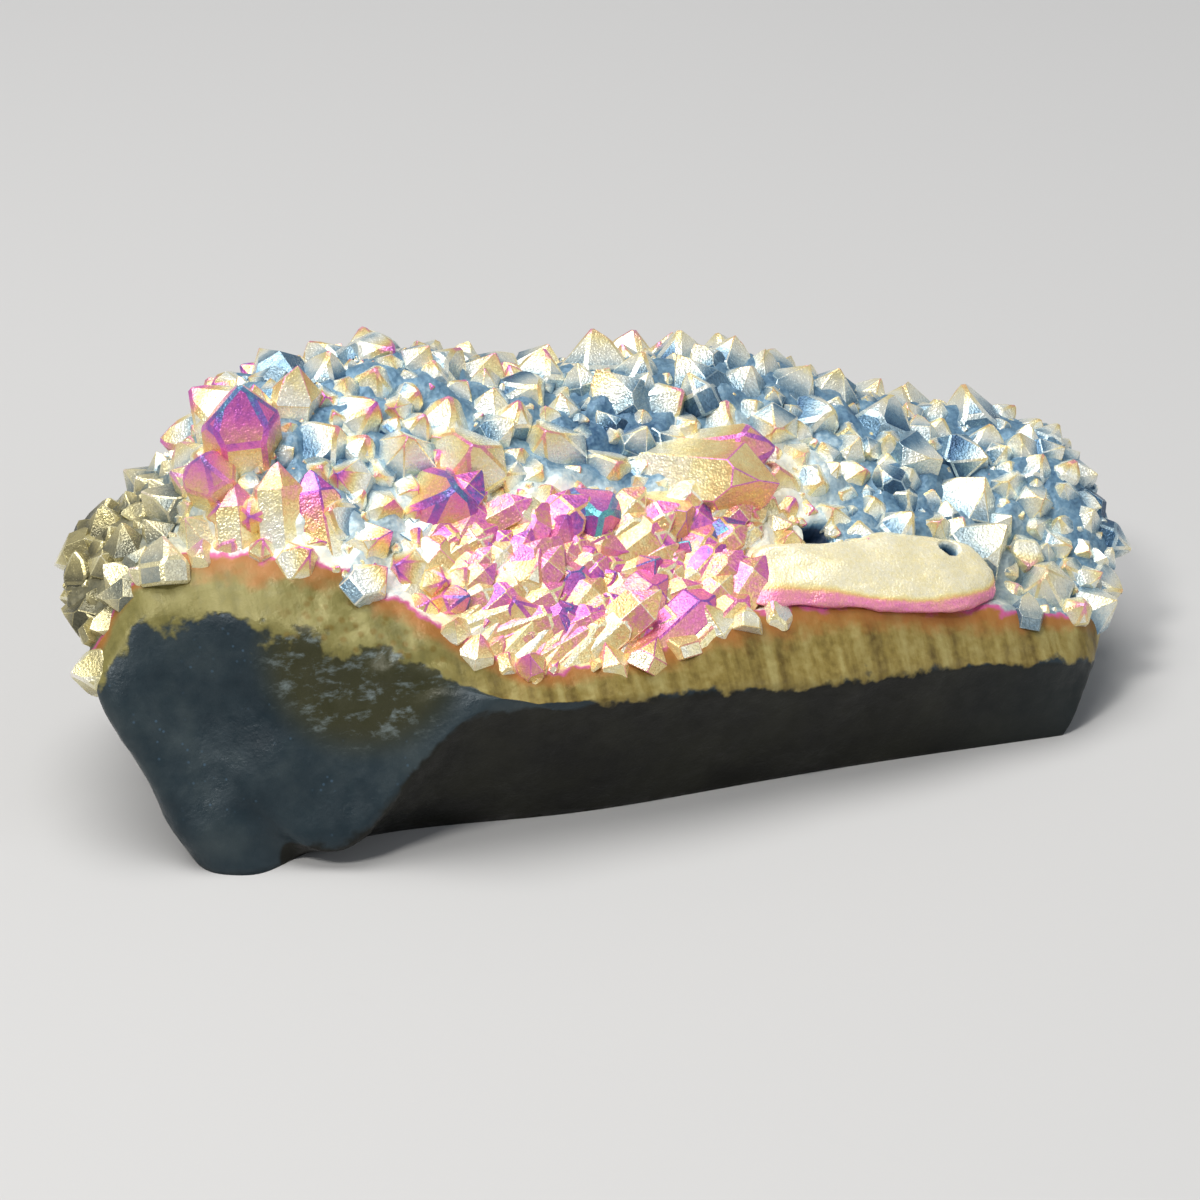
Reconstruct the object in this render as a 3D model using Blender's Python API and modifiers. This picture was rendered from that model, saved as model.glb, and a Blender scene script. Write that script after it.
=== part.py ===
"""Aura quartz cluster: one broken piece of stone whose upper side is a crust of quartz crystals.

Metres, +Z up. The origin is the middle of the flat underside. +X runs along the piece, from its
tall left end to its low right end, and -Y is the front, where the stone is broken open.
"""
import math
import random

import bmesh
import bpy
import numpy as np
from mathutils import Matrix, Vector, noise

NAME = "aura_quartz_cluster"

# The body is a loft. Each station is a ring of ten points, in metres, that starts at the front of
# the flat underside, climbs the broken front, crosses the crystal side and comes down the back.
RING = ("base_front", "keel", "shoulder", "lip", "slope", "upper_slope", "crest", "brow", "back", "base_back")
STATIONS = (
    ((-.0391, -.0140, 0), (-.0418, -.0122, .0060), (-.0446, -.0082, .0134), (-.0446, -.0050, .0156),
     (-.0443, -.0015, .0172), (-.0438, .0015, .0184), (-.0430, .0048, .0190), (-.0418, .0084, .0174),
     (-.0404, .0096, .0095), (-.0378, .0078, 0)),
    ((-.0350, -.0178, 0), (-.0372, -.0131, .0085), (-.0395, -.0075, .0183), (-.0388, -.0042, .0212),
     (-.0378, -.0010, .0228), (-.0372, .0020, .0238), (-.0365, .0061, .0240), (-.0353, .0112, .0214),
     (-.0345, .0138, .0115), (-.0325, .0115, 0)),
    ((-.0305, -.0160, 0), (-.0305, -.0185, .0022), (-.0310, -.0118, .0177), (-.0310, -.0072, .0220),
     (-.0308, -.0040, .0262), (-.0305, .0000, .0298), (-.0302, .0050, .0306), (-.0300, .0121, .0272),
     (-.0300, .0165, .0135), (-.0290, .0145, 0)),
    ((-.0235, -.0150, 0), (-.0235, -.0196, .0067), (-.0238, -.0152, .0166), (-.0235, -.0110, .0205),
     (-.0235, -.0055, .0252), (-.0232, .0002, .0290), (-.0230, .0065, .0312), (-.0230, .0146, .0280),
     (-.0230, .0192, .0140), (-.0225, .0172, 0)),
    ((-.0150, -.0160, 0), (-.0150, -.0207, .0122), (-.0155, -.0198, .0135), (-.0150, -.0170, .0154),
     (-.0145, -.0100, .0208), (-.0142, -.0012, .0265), (-.0140, .0072, .0306), (-.0140, .0157, .0275),
     (-.0140, .0203, .0142), (-.0145, .0183, 0)),
    ((-.0070, -.0170, 0), (-.0070, -.0192, .0065), (-.0075, -.0209, .0121), (-.0070, -.0187, .0143),
     (-.0062, -.0118, .0186), (-.0055, -.0022, .0242), (-.0050, .0070, .0278), (-.0050, .0158, .0250),
     (-.0055, .0203, .0138), (-.0065, .0188, 0)),
    ((.0030, -.0171, 0), (.0030, -.0188, .0058), (.0030, -.0204, .0110), (.0030, -.0170, .0144),
     (.0036, -.0105, .0180), (.0044, -.0015, .0235), (.0050, .0078, .0272), (.0050, .0162, .0242),
     (.0040, .0202, .0130), (.0025, .0188, 0)),
    ((.0140, -.0171, 0), (.0140, -.0186, .0050), (.0140, -.0199, .0097), (.0140, -.0155, .0146),
     (.0148, -.0095, .0175), (.0158, -.0010, .0222), (.0165, .0078, .0260), (.0165, .0158, .0230),
     (.0150, .0193, .0120), (.0135, .0178, 0)),
    ((.0255, -.0176, 0), (.0255, -.0184, .0043), (.0258, -.0190, .0085), (.0262, -.0155, .0120),
     (.0270, -.0095, .0148), (.0275, -.0020, .0190), (.0280, .0060, .0211), (.0280, .0138, .0184),
     (.0265, .0172, .0095), (.0250, .0158, 0)),
    ((.0325, -.0180, 0), (.0336, -.0181, .0033), (.0346, -.0178, .0066), (.0362, -.0145, .0092),
     (.0380, -.0095, .0120), (.0385, -.0030, .0160), (.0383, .0045, .0184), (.0378, .0112, .0160),
     (.0352, .0142, .0075), (.0330, .0128, 0)),
    ((.0345, -.0160, 0), (.0368, -.0155, .0030), (.0390, -.0135, .0055), (.0414, -.0100, .0080),
     (.0436, -.0062, .0100), (.0441, -.0020, .0124), (.0434, .0030, .0140), (.0418, .0078, .0124),
     (.0385, .0095, .0058), (.0358, .0082, 0)),
)
CREASES = {"base_front": 1.0, "base_back": 1.0, "shoulder": 0.75, "lip": 0.3}
KEEL_STATIONS = (1, 4)       # the keel is a sharp edge only between these two stations
KEEL_CREASE = 0.8
END_CREASE = 0.35
SMOOTHING = 2                # subdivision levels of the body
FACES_KEPT = 0.34            # share of the body's triangles that its shape needs
FLAT = 2e-5                  # a vertex as low as this lies on the underside
FIT_ROUNDS = 8
STONE, BAND, DRUSE = 0, 1, 2
ZONES = {"shoulder": BAND, "lip": DRUSE, "slope": DRUSE, "upper_slope": DRUSE, "crest": DRUSE}
DRUSE_END_ROW = 2            # on the two ends the crystals start above this many rows of faces

# The crystals stand in a bed that lies lower than the stations' points, but not at the thin ends.
BED_DEPTH = .0011
BED_HALF_LENGTH = .0405
BED_FADE = .0040             # length over which the bed comes up towards the ends

# Broken stone is never smooth: the body is pushed in and out by noise, but not near the underside.
LUMP_HEIGHT = .0007
LUMP_SIZE = .0075
LUMP_FREE_ABOVE = .0030
BED_ROUGHNESS = .0012        # between the large crystals the bed is a heap of small ones
BED_GRAIN = .0022
WOUND = (-.0250, -.0145, .0165)      # here the broken front is torn into steps
WOUND_REACH = .0075
WOUND_HEIGHT = .0009
WOUND_GRAIN = .0030

# Crystals of the crust, by where they stand: (middle, reach, smallest width, largest width).
SEED = 2
RHOMB_TILT = math.radians(51.8)   # between the axis of a quartz crystal and the normal of its tip faces
REGIONS = (
    ((-.0430, .0000, .0180), .0110, .0036, .0048),    # left end
    ((.0440, .0000, .0120), .0120, .0036, .0048),     # right end
    ((-.0270, -.0070, .0240), .0080, .0036, .0048),   # upper left slope
    ((-.0150, -.0100, .0210), .0070, .0036, .0048),
    ((-.0020, -.0130, .0180), .0110, .0034, .0044),   # broken front
    ((.0180, -.0120, .0160), .0120, .0034, .0046),    # round the ledge
)
USUAL_WIDTH = (.0048, .0070)
SPACING = 0.38               # of the two widths together
PLACING_TRIES = 9000
HEIGHT_SHARE = (0.42, 0.60)  # of the width, from the body to the tip
LEAN = 0.50                  # most sideways lean against the body's normal
FOOT_SHARE = 0.45            # of the width, from the body down into it
LARGE_FACE_DROP = (0.0, 0.16)      # of the width: how far below the tip the large tip faces start,
SMALL_FACE_DROP = (-0.06, 0.04)    # and the small ones

# Larger crystals and splinters with a place of their own: foot, tip and width.
SINGLE_CRYSTALS = (
    ((-.0300, .0010, .0275), (-.0308, -.0006, .0345), .0066),   # spur over the left end
    ((-.0255, .0040, .0285), (-.0250, .0035, .0335), .0052),
    ((-.0330, -.0010, .0260), (-.0345, -.0025, .0298), .0048),
    ((-.0150, -.0040, .0215), (-.0145, -.0078, .0262), .0084),  # pink blocks, left of the middle
    ((-.0120, -.0005, .0235), (-.0128, -.0040, .0282), .0070),
    ((-.0035, -.0050, .0190), (-.0035, -.0102, .0226), .0072),  # violet cone
    ((.0030, -.0055, .0185), (.0040, -.0095, .0220), .0064),
    ((.0050, -.0010, .0205), (.0126, -.0086, .0218), .0070),    # long crystal above the ledge
    ((.0085, .0000, .0215), (.0137, -.0045, .0236), .0048),
)
SPLINTER_FLATNESS = 0.6      # they lie flattened against the broken slope,
BROKEN_SLOPE = Vector((.0, -.62, .78))    # which faces this way
SPLINTERS = (
    ((-.0090, -.0168, .0138), (.0016, -.0122, .0178), .0044),
    ((-.0045, -.0182, .0128), (.0048, -.0138, .0166), .0040),
    ((.0008, -.0176, .0130), (.0078, -.0138, .0162), .0036),
    ((-.0125, -.0150, .0150), (-.0050, -.0102, .0196), .0042),
    ((-.0210, -.0108, .0180), (-.0150, -.0078, .0220), .0042),
    ((-.0290, -.0066, .0205), (-.0284, -.0030, .0284), .0042),
    ((-.0322, -.0056, .0205), (-.0318, -.0024, .0270), .0040),
    ((-.0255, -.0076, .0205), (-.0256, -.0032, .0275), .0040),
)

# The smooth ledge that hangs over the front on the right. Each station is a ring of six points.
LEDGE_RING = ("top", "upper", "crown", "rim", "under", "core")
LEDGE_STATIONS = (
    ((.0086, -.0102, .0172), (.0085, -.0105, .0176), (.0082, -.0112, .0176), (.0064, -.0152, .0153),
     (.0065, -.0152, .0148), (.0078, -.0125, .0160)),
    ((.0104, -.0098, .0172), (.0103, -.0104, .0183), (.0101, -.0112, .0184), (.0086, -.0158, .0156),
     (.0087, -.0157, .0148), (.0098, -.0125, .0155)),
    ((.0132, -.0104, .0168), (.0130, -.0110, .0178), (.0127, -.0121, .0179), (.0118, -.0160, .0153),
     (.0119, -.0159, .0144), (.0126, -.0125, .0148)),
    ((.0172, -.0098, .0164), (.0168, -.0108, .0176), (.0159, -.0138, .0168), (.0152, -.0164, .0148),
     (.0153, -.0163, .0139), (.0162, -.0118, .0144)),
    ((.0202, -.0084, .0165), (.0200, -.0098, .0176), (.0188, -.0152, .0155), (.0184, -.0169, .0141),
     (.0185, -.0168, .0131), (.0196, -.0114, .0136)),
    ((.0232, -.0084, .0160), (.0232, -.0098, .0170), (.0225, -.0144, .0153), (.0218, -.0171, .0133),
     (.0219, -.0169, .0123), (.0228, -.0112, .0128)),
    ((.0264, -.0084, .0151), (.0264, -.0098, .0161), (.0260, -.0134, .0149), (.0250, -.0167, .0128),
     (.0251, -.0165, .0118), (.0259, -.0115, .0121)),
    ((.0286, -.0096, .0138), (.0287, -.0106, .0148), (.0284, -.0128, .0144), (.0276, -.0154, .0127),
     (.0277, -.0153, .0117), (.0283, -.0120, .0118)),
    ((.0296, -.0114, .0125), (.0299, -.0119, .0131), (.0299, -.0130, .0128), (.0295, -.0140, .0122),
     (.0294, -.0139, .0115), (.0296, -.0126, .0114)),
)
LEDGE_CREASE = 0.6
LEDGE_RIDGE_STATIONS = 4     # its crown is a ridge as far as this station
LEDGE_SMOOTHING = 1
LEDGE_FREE = .0040           # no crystal this close to the line halfway from its crown to its rim

# Pits: mouth, direction inwards, radius at the mouth.
PITS = (
    ((.0156, -.0089, .0182), (-.05, .55, -.80), .00105),
    ((.0262, -.0112, .0156), (-.10, .45, -.85), .00080),
    ((.0077, -.0109, .0182), (.0, .50, -.85), .00060),
)
PIT_FREE = .0020             # no crystal this close to a pit's edge
PIT_DEPTH = .0034
PIT_SIDES = 10
PIT_FLARE = (1.3, 0.5)       # radius outside the mouth and at the bottom, over the radius at the mouth

STONE_COLOUR = (.30, .30, .28, 1)
STONE_ROUGHNESS = .35
STONE_METALLIC = .45


def clear_scene():
    for obj in list(bpy.data.objects):
        bpy.data.objects.remove(obj, do_unlink=True)


def new_object(name, mesh, collection, helper=False):
    obj = bpy.data.objects.new(name, mesh)
    collection.objects.link(obj)
    if helper:
        obj.hide_render = True
        obj.display_type = "WIRE"
    return obj


def mesh_from(bm, name):
    mesh = bpy.data.meshes.new(name)
    bm.to_mesh(mesh)
    bm.free()
    return mesh


def evaluated_mesh(obj):
    bpy.context.view_layer.update()
    graph = bpy.context.evaluated_depsgraph_get()
    return bpy.data.meshes.new_from_object(obj.evaluated_get(graph), depsgraph=graph)


def body_cage():
    bm = bmesh.new()
    crease = bm.edges.layers.float.new("crease_edge")
    rings = [[bm.verts.new(point) for point in station] for station in STATIONS]
    count = len(RING)
    for left, right in zip(rings, rings[1:]):
        for i, name in enumerate(RING):
            j = (i + 1) % count
            face = bm.faces.new((left[i], left[j], right[j], right[i]))
            face.material_index = ZONES.get(name, STONE)
    for ring in (rings[0], rings[-1]):
        for row in range(count // 2 - 1):
            face = bm.faces.new((ring[row], ring[count - 1 - row], ring[count - 2 - row], ring[row + 1]))
            face.material_index = DRUSE if row >= DRUSE_END_ROW else STONE
    bmesh.ops.recalc_face_normals(bm, faces=bm.faces)
    for station, (left, right) in enumerate(zip(rings, rings[1:])):
        for i, name in enumerate(RING):
            edge = bm.edges.get((left[i], right[i]))
            edge[crease] = CREASES.get(name, 0.0)
            if name == "keel" and KEEL_STATIONS[0] <= station < KEEL_STATIONS[1]:
                edge[crease] = KEEL_CREASE
    for ring in (rings[0], rings[-1]):
        for i in range(count):
            edge = bm.edges.get((ring[i], ring[(i + 1) % count]))
            edge[crease] = 1.0 if i == count - 1 else END_CREASE
    return mesh_from(bm, "body_cage")


def smooth_body(collection):
    """The stations' cage, smoothed, with the cage pushed out until the surface passes through their points."""
    cage = new_object("body_cage", body_cage(), collection, helper=True)
    smooth = cage.modifiers.new("smooth", "SUBSURF")
    smooth.levels = smooth.render_levels = SMOOTHING
    wanted = np.array([point for station in STATIONS for point in station])
    for _ in range(FIT_ROUNDS):
        shape = evaluated_mesh(cage)
        reached = np.array([vertex.co for vertex in shape.vertices[:len(wanted)]])
        bpy.data.meshes.remove(shape)
        for vertex, move in zip(cage.data.vertices, wanted - reached):
            vertex.co += Vector(move)
    return evaluated_mesh(cage)


def thin_out(body):
    """Drops the triangles that the body's shape does not need. The underside stays flat."""
    thin = body.modifiers.new("thin", "DECIMATE")
    thin.ratio = FACES_KEPT
    mesh = evaluated_mesh(body)
    for vertex in mesh.vertices:
        if vertex.co.z < FLAT:
            vertex.co.z = 0
    return mesh


def relief(point, on_bed):
    """How far a point of the body moves outwards. The underside stays flat."""
    height = noise.noise(point / LUMP_SIZE) * LUMP_HEIGHT
    torn = max(0.0, 1 - (point - Vector(WOUND)).length / WOUND_REACH)
    height += noise.noise(point / WOUND_GRAIN) * WOUND_HEIGHT * torn
    if on_bed:
        rough = noise.noise(point / BED_GRAIN) * BED_ROUGHNESS
        height += (rough - BED_DEPTH) * min(1.0, max(0.0, (BED_HALF_LENGTH - abs(point.x)) / BED_FADE))
    return height * min(1.0, max(0.0, point.z / LUMP_FREE_ABOVE))


def add_relief(mesh):
    bed = {i for polygon in mesh.polygons if polygon.material_index == DRUSE for i in polygon.vertices}
    rim = {i for polygon in mesh.polygons if polygon.material_index != DRUSE for i in polygon.vertices}
    moves = [vertex.normal * relief(vertex.co, vertex.index in bed - rim) for vertex in mesh.vertices]
    for vertex, move in zip(mesh.vertices, moves):
        vertex.co += move


def quartz_crystal(width, height, rng):
    """A six-sided crystal on the origin, its tip at +Z. Three tip faces are large and three small."""
    bm = bmesh.new()
    foot = width * FOOT_SHARE
    bmesh.ops.create_cone(bm, cap_ends=True, segments=6, radius1=width / 2, radius2=width / 2,
                          depth=height + foot, matrix=Matrix.Translation((0, 0, (height - foot) / 2)))
    first_large = rng.randrange(2)
    for side in range(6):
        turn = math.radians(60 * side)
        drop = width * rng.uniform(*(LARGE_FACE_DROP if side % 2 == first_large else SMALL_FACE_DROP))
        normal = Vector((math.cos(turn) * math.sin(RHOMB_TILT), math.sin(turn) * math.sin(RHOMB_TILT),
                         math.cos(RHOMB_TILT)))
        cut = bmesh.ops.bisect_plane(bm, geom=bm.verts[:] + bm.edges[:] + bm.faces[:],
                                     plane_co=Vector((0, 0, height - drop)), plane_no=normal, clear_outer=True)
        rim = [item for item in cut["geom_cut"] if isinstance(item, bmesh.types.BMEdge)]
        if len(rim) > 2:
            bmesh.ops.contextual_create(bm, geom=rim)
    return bm


def standing(axis, rng):
    """Turns +Z to the axis, and the crystal by any angle about it."""
    return axis.to_track_quat("Z", "Y").to_matrix().to_4x4() @ Matrix.Rotation(rng.uniform(0, math.tau), 4, "Z")


def lying(axis):
    """Turns +Z to the axis, and flattens the crystal against the broken slope."""
    across = BROKEN_SLOPE.cross(axis).normalized()
    turn = Matrix((across, axis.cross(across), axis)).transposed().to_4x4()
    return turn @ Matrix.Scale(SPLINTER_FLATNESS, 4, (0, 1, 0))


def grow(crust, foot, turn, width, height, rng):
    crystal = quartz_crystal(width, height, rng)
    crystal.transform(Matrix.Translation(foot) @ turn)
    mesh = mesh_from(crystal, "crystal")
    crust.from_mesh(mesh)
    bpy.data.meshes.remove(mesh)


def crystal_width(point, rng):
    low, high = USUAL_WIDTH
    for middle, reach, least, most in REGIONS:
        if (point - Vector(middle)).length < reach:
            low, high = least, most
            break
    return rng.uniform(low, high)


def kept_free(point):
    """True near the ledge and at the pits, where no crystal stands."""
    crown, rim = LEDGE_RING.index("crown"), LEDGE_RING.index("rim")
    ledge = (((Vector(station[crown]) + Vector(station[rim])) / 2, LEDGE_FREE) for station in LEDGE_STATIONS)
    pits = ((Vector(mouth), radius + PIT_FREE) for mouth, _, radius in PITS)
    return any((point - middle).length < reach for middle, reach in (*ledge, *pits))


def crystal_sites(body, rng):
    """Places on the crystal side, no two closer than their widths allow: (point, normal, width)."""
    body.calc_loop_triangles()
    faces = [t for t in body.loop_triangles if body.polygons[t.polygon_index].material_index == DRUSE]
    reach = np.cumsum([t.area for t in faces])
    sites = [(Vector(foot), None, width) for foot, _, width in SINGLE_CRYSTALS]
    for _ in range(PLACING_TRIES):
        face = faces[int(np.searchsorted(reach, rng.random() * reach[-1]))]
        u, v = rng.random(), rng.random()
        if u + v > 1:
            u, v = 1 - u, 1 - v
        a, b, c = (body.vertices[i].co for i in face.vertices)
        point = a + (b - a) * u + (c - a) * v
        width = crystal_width(point, rng)
        if kept_free(point):
            continue
        if all((point - other).length > SPACING * (width + wide) for other, _, wide in sites):
            sites.append((point, face.normal.copy(), width))
    return sites[len(SINGLE_CRYSTALS):]


def crystal_crust(body):
    rng = random.Random(SEED)
    crust = bmesh.new()
    for point, normal, width in crystal_sites(body, rng):
        lean = Vector([rng.uniform(-LEAN, LEAN) for _ in range(3)])
        height = width * rng.uniform(*HEIGHT_SHARE)
        grow(crust, point, standing((normal + lean).normalized(), rng), width, height, rng)
    for foot, tip, width in SINGLE_CRYSTALS:
        axis = Vector(tip) - Vector(foot)
        grow(crust, Vector(foot), standing(axis.normalized(), rng), width, axis.length, rng)
    for foot, tip, width in SPLINTERS:
        axis = Vector(tip) - Vector(foot)
        grow(crust, Vector(foot), lying(axis.normalized()), width, axis.length, rng)
    return crust


def add_ledge(crust):
    """A closed loft through the ledge's stations, smoothed."""
    bm = bmesh.new()
    rings = [[bm.verts.new(point) for point in station] for station in LEDGE_STATIONS]
    for left, right in zip(rings, rings[1:]):
        for i in range(len(left)):
            j = (i + 1) % len(left)
            bm.faces.new((left[i], left[j], right[j], right[i]))
    for ring in (rings[0], rings[-1]):
        bm.faces.new(ring)
    bmesh.ops.recalc_face_normals(bm, faces=bm.faces)
    crease = bm.edges.layers.float.new("crease_edge")
    crown = LEDGE_RING.index("crown")
    for left, right in zip(rings[:LEDGE_RIDGE_STATIONS], rings[1:]):
        bm.edges.get((left[crown], right[crown]))[crease] = LEDGE_CREASE
    cage = new_object("ledge_cage", mesh_from(bm, "ledge_cage"), bpy.context.scene.collection)
    smooth = cage.modifiers.new("smooth", "SUBSURF")
    smooth.levels = smooth.render_levels = LEDGE_SMOOTHING
    mesh = evaluated_mesh(cage)
    bpy.data.objects.remove(cage)
    crust.from_mesh(mesh)
    bpy.data.meshes.remove(mesh)


def pit_cutters():
    bm = bmesh.new()
    for mouth, inwards, radius in PITS:
        inwards = Vector(inwards).normalized()
        turn = inwards.to_track_quat("Z", "Y").to_matrix().to_4x4()
        bmesh.ops.create_cone(bm, cap_ends=True, segments=PIT_SIDES, radius1=radius * PIT_FLARE[0],
                              radius2=radius * PIT_FLARE[1], depth=2 * PIT_DEPTH,
                              matrix=Matrix.Translation(mouth) @ turn)
    return bm


def combine(obj, other, operation):
    """A Boolean modifier, EXACT, that also joins the pieces of the other mesh to each other."""
    modifier = obj.modifiers.new(other.name, "BOOLEAN")
    modifier.operation = operation
    modifier.solver = "EXACT"
    modifier.object = other
    modifier.use_self = True


def largest_piece(mesh):
    """The mesh without the closed hollows that growing crystals leave between them."""
    bm = bmesh.new()
    bm.from_mesh(mesh)
    pieces = []
    left = set(bm.verts)
    while left:
        piece = {left.pop()}
        edge_of_piece = set(piece)
        while edge_of_piece:
            edge_of_piece = {e.other_vert(v) for v in edge_of_piece for e in v.link_edges} & left
            left -= edge_of_piece
            piece |= edge_of_piece
        pieces.append(piece)
    pieces.sort(key=len)
    bmesh.ops.delete(bm, geom=[v for piece in pieces[:-1] for v in piece], context="VERTS")
    for face in bm.faces:
        face.material_index = 0
    return mesh_from(bm, mesh.name)


def centre_on_origin(mesh):
    """Puts the middle of the underside's surrounding box on the origin."""
    points = np.array([vertex.co for vertex in mesh.vertices])
    middle = (points.min(axis=0) + points.max(axis=0)) / 2
    mesh.transform(Matrix.Translation((-middle[0], -middle[1], 0)))


def stone_material():
    material = bpy.data.materials.new("aura_quartz")
    material.use_nodes = True
    shader = material.node_tree.nodes["Principled BSDF"]
    shader.inputs["Base Color"].default_value = STONE_COLOUR
    shader.inputs["Roughness"].default_value = STONE_ROUGHNESS
    shader.inputs["Metallic"].default_value = STONE_METALLIC
    return material


def main():
    clear_scene()
    part = bpy.data.collections.new(NAME)
    helpers = bpy.data.collections.new("helpers")
    for collection in (part, helpers):
        bpy.context.scene.collection.children.link(collection)

    body = smooth_body(helpers)
    add_relief(body)
    crust = crystal_crust(body)
    add_ledge(crust)
    cluster = new_object(NAME, thin_out(new_object("body", body, helpers, helper=True)), part)
    combine(cluster, new_object("crystals", mesh_from(crust, "crystals"), helpers, helper=True), "UNION")
    combine(cluster, new_object("pits", mesh_from(pit_cutters(), "pits"), helpers, helper=True), "DIFFERENCE")
    cluster.data = largest_piece(evaluated_mesh(cluster))
    cluster.modifiers.clear()
    centre_on_origin(cluster.data)
    cluster.data.materials.clear()
    cluster.data.materials.append(stone_material())


main()
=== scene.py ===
"""Looks of the aura quartz cluster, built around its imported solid.

The solid is one faceted piece. Here a finer stone, three sizes of crystals, shards and the ledge show it.
Metres, +Z up, -Y the broken front. Colours are linear unless a name says otherwise.
"""

import math
import random

import bmesh
import bpy
import numpy as np
from mathutils import Matrix, Vector, noise


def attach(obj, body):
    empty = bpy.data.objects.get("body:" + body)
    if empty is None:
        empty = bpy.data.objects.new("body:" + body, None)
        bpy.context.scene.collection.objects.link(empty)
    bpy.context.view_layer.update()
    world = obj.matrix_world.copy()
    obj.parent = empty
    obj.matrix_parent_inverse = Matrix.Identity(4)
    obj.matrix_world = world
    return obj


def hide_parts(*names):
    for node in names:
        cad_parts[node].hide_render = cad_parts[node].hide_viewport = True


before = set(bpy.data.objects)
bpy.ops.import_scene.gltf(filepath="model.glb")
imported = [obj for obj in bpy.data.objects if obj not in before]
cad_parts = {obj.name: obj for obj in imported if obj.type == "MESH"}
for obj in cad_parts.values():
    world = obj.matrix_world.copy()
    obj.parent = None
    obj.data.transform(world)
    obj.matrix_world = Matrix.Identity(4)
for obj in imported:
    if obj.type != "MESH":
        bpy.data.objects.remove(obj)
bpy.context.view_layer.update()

NODE = "aura_quartz_cluster"
BODY = "root"

# The body is a loft. Each station is a ring of ten points, in metres, that starts at the front of
# the flat underside, climbs the broken front, crosses the crystal side and comes down the back.
RING = ("base_front", "keel", "shoulder", "lip", "slope", "upper_slope", "crest", "brow", "back", "base_back")
STATIONS = (
    ((-.0391, -.0140, 0), (-.0418, -.0122, .0060), (-.0446, -.0082, .0134), (-.0446, -.0050, .0156),
     (-.0443, -.0015, .0172), (-.0438, .0015, .0184), (-.0430, .0048, .0190), (-.0418, .0084, .0174),
     (-.0404, .0096, .0095), (-.0378, .0078, 0)),
    ((-.0350, -.0178, 0), (-.0372, -.0131, .0085), (-.0395, -.0075, .0183), (-.0388, -.0042, .0212),
     (-.0378, -.0010, .0228), (-.0372, .0020, .0238), (-.0365, .0061, .0240), (-.0353, .0112, .0214),
     (-.0345, .0138, .0115), (-.0325, .0115, 0)),
    ((-.0305, -.0160, 0), (-.0305, -.0185, .0022), (-.0310, -.0118, .0177), (-.0310, -.0072, .0220),
     (-.0308, -.0040, .0262), (-.0305, .0000, .0298), (-.0302, .0050, .0306), (-.0300, .0121, .0272),
     (-.0300, .0165, .0135), (-.0290, .0145, 0)),
    ((-.0235, -.0150, 0), (-.0235, -.0196, .0067), (-.0238, -.0152, .0166), (-.0235, -.0110, .0205),
     (-.0235, -.0055, .0252), (-.0232, .0002, .0290), (-.0230, .0065, .0312), (-.0230, .0146, .0280),
     (-.0230, .0192, .0140), (-.0225, .0172, 0)),
    ((-.0150, -.0160, 0), (-.0150, -.0207, .0122), (-.0155, -.0198, .0135), (-.0150, -.0170, .0154),
     (-.0145, -.0100, .0208), (-.0142, -.0012, .0265), (-.0140, .0072, .0306), (-.0140, .0157, .0275),
     (-.0140, .0203, .0142), (-.0145, .0183, 0)),
    ((-.0070, -.0170, 0), (-.0070, -.0192, .0065), (-.0075, -.0209, .0121), (-.0070, -.0187, .0143),
     (-.0062, -.0118, .0186), (-.0055, -.0022, .0242), (-.0050, .0070, .0278), (-.0050, .0158, .0250),
     (-.0055, .0203, .0138), (-.0065, .0188, 0)),
    ((.0030, -.0171, 0), (.0030, -.0188, .0058), (.0030, -.0204, .0110), (.0030, -.0170, .0144),
     (.0036, -.0105, .0180), (.0044, -.0015, .0235), (.0050, .0078, .0272), (.0050, .0162, .0242),
     (.0040, .0202, .0130), (.0025, .0188, 0)),
    ((.0140, -.0171, 0), (.0140, -.0186, .0050), (.0140, -.0199, .0097), (.0140, -.0155, .0146),
     (.0148, -.0095, .0175), (.0158, -.0010, .0222), (.0165, .0078, .0260), (.0165, .0158, .0230),
     (.0150, .0193, .0120), (.0135, .0178, 0)),
    ((.0255, -.0176, 0), (.0255, -.0184, .0043), (.0258, -.0190, .0085), (.0262, -.0155, .0120),
     (.0270, -.0095, .0148), (.0275, -.0020, .0190), (.0280, .0060, .0211), (.0280, .0138, .0184),
     (.0265, .0172, .0095), (.0250, .0158, 0)),
    ((.0325, -.0180, 0), (.0336, -.0181, .0033), (.0346, -.0178, .0066), (.0362, -.0145, .0092),
     (.0380, -.0095, .0120), (.0385, -.0030, .0160), (.0383, .0045, .0184), (.0378, .0112, .0160),
     (.0352, .0142, .0075), (.0330, .0128, 0)),
    ((.0345, -.0160, 0), (.0368, -.0155, .0030), (.0390, -.0135, .0055), (.0414, -.0100, .0080),
     (.0436, -.0062, .0100), (.0441, -.0020, .0124), (.0434, .0030, .0140), (.0418, .0078, .0124),
     (.0385, .0095, .0058), (.0358, .0082, 0)),
)
CREASES = {"base_front": 1.0, "base_back": 1.0, "shoulder": 0.75, "lip": 0.3}
KEEL_STATIONS = (1, 4)       # the keel is a sharp edge only between these two stations
KEEL_CREASE = 0.8
END_CREASE = 0.35
SMOOTHING = 2                # subdivision levels of the solid's body
FIT_ROUNDS = 8
STONE, BAND, DRUSE = 0, 1, 2
ZONES = {"shoulder": BAND, "lip": DRUSE, "slope": DRUSE, "upper_slope": DRUSE, "crest": DRUSE}
DRUSE_END_ROW = 2            # on the two ends the crystals start above this many rows of faces

# The crystals stand in a bed that lies lower than the stations' points, but not at the thin ends.
BED_DEPTH = .0011
BED_HALF_LENGTH = .0405
BED_FADE = .0040             # length over which the bed comes up towards the ends

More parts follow.
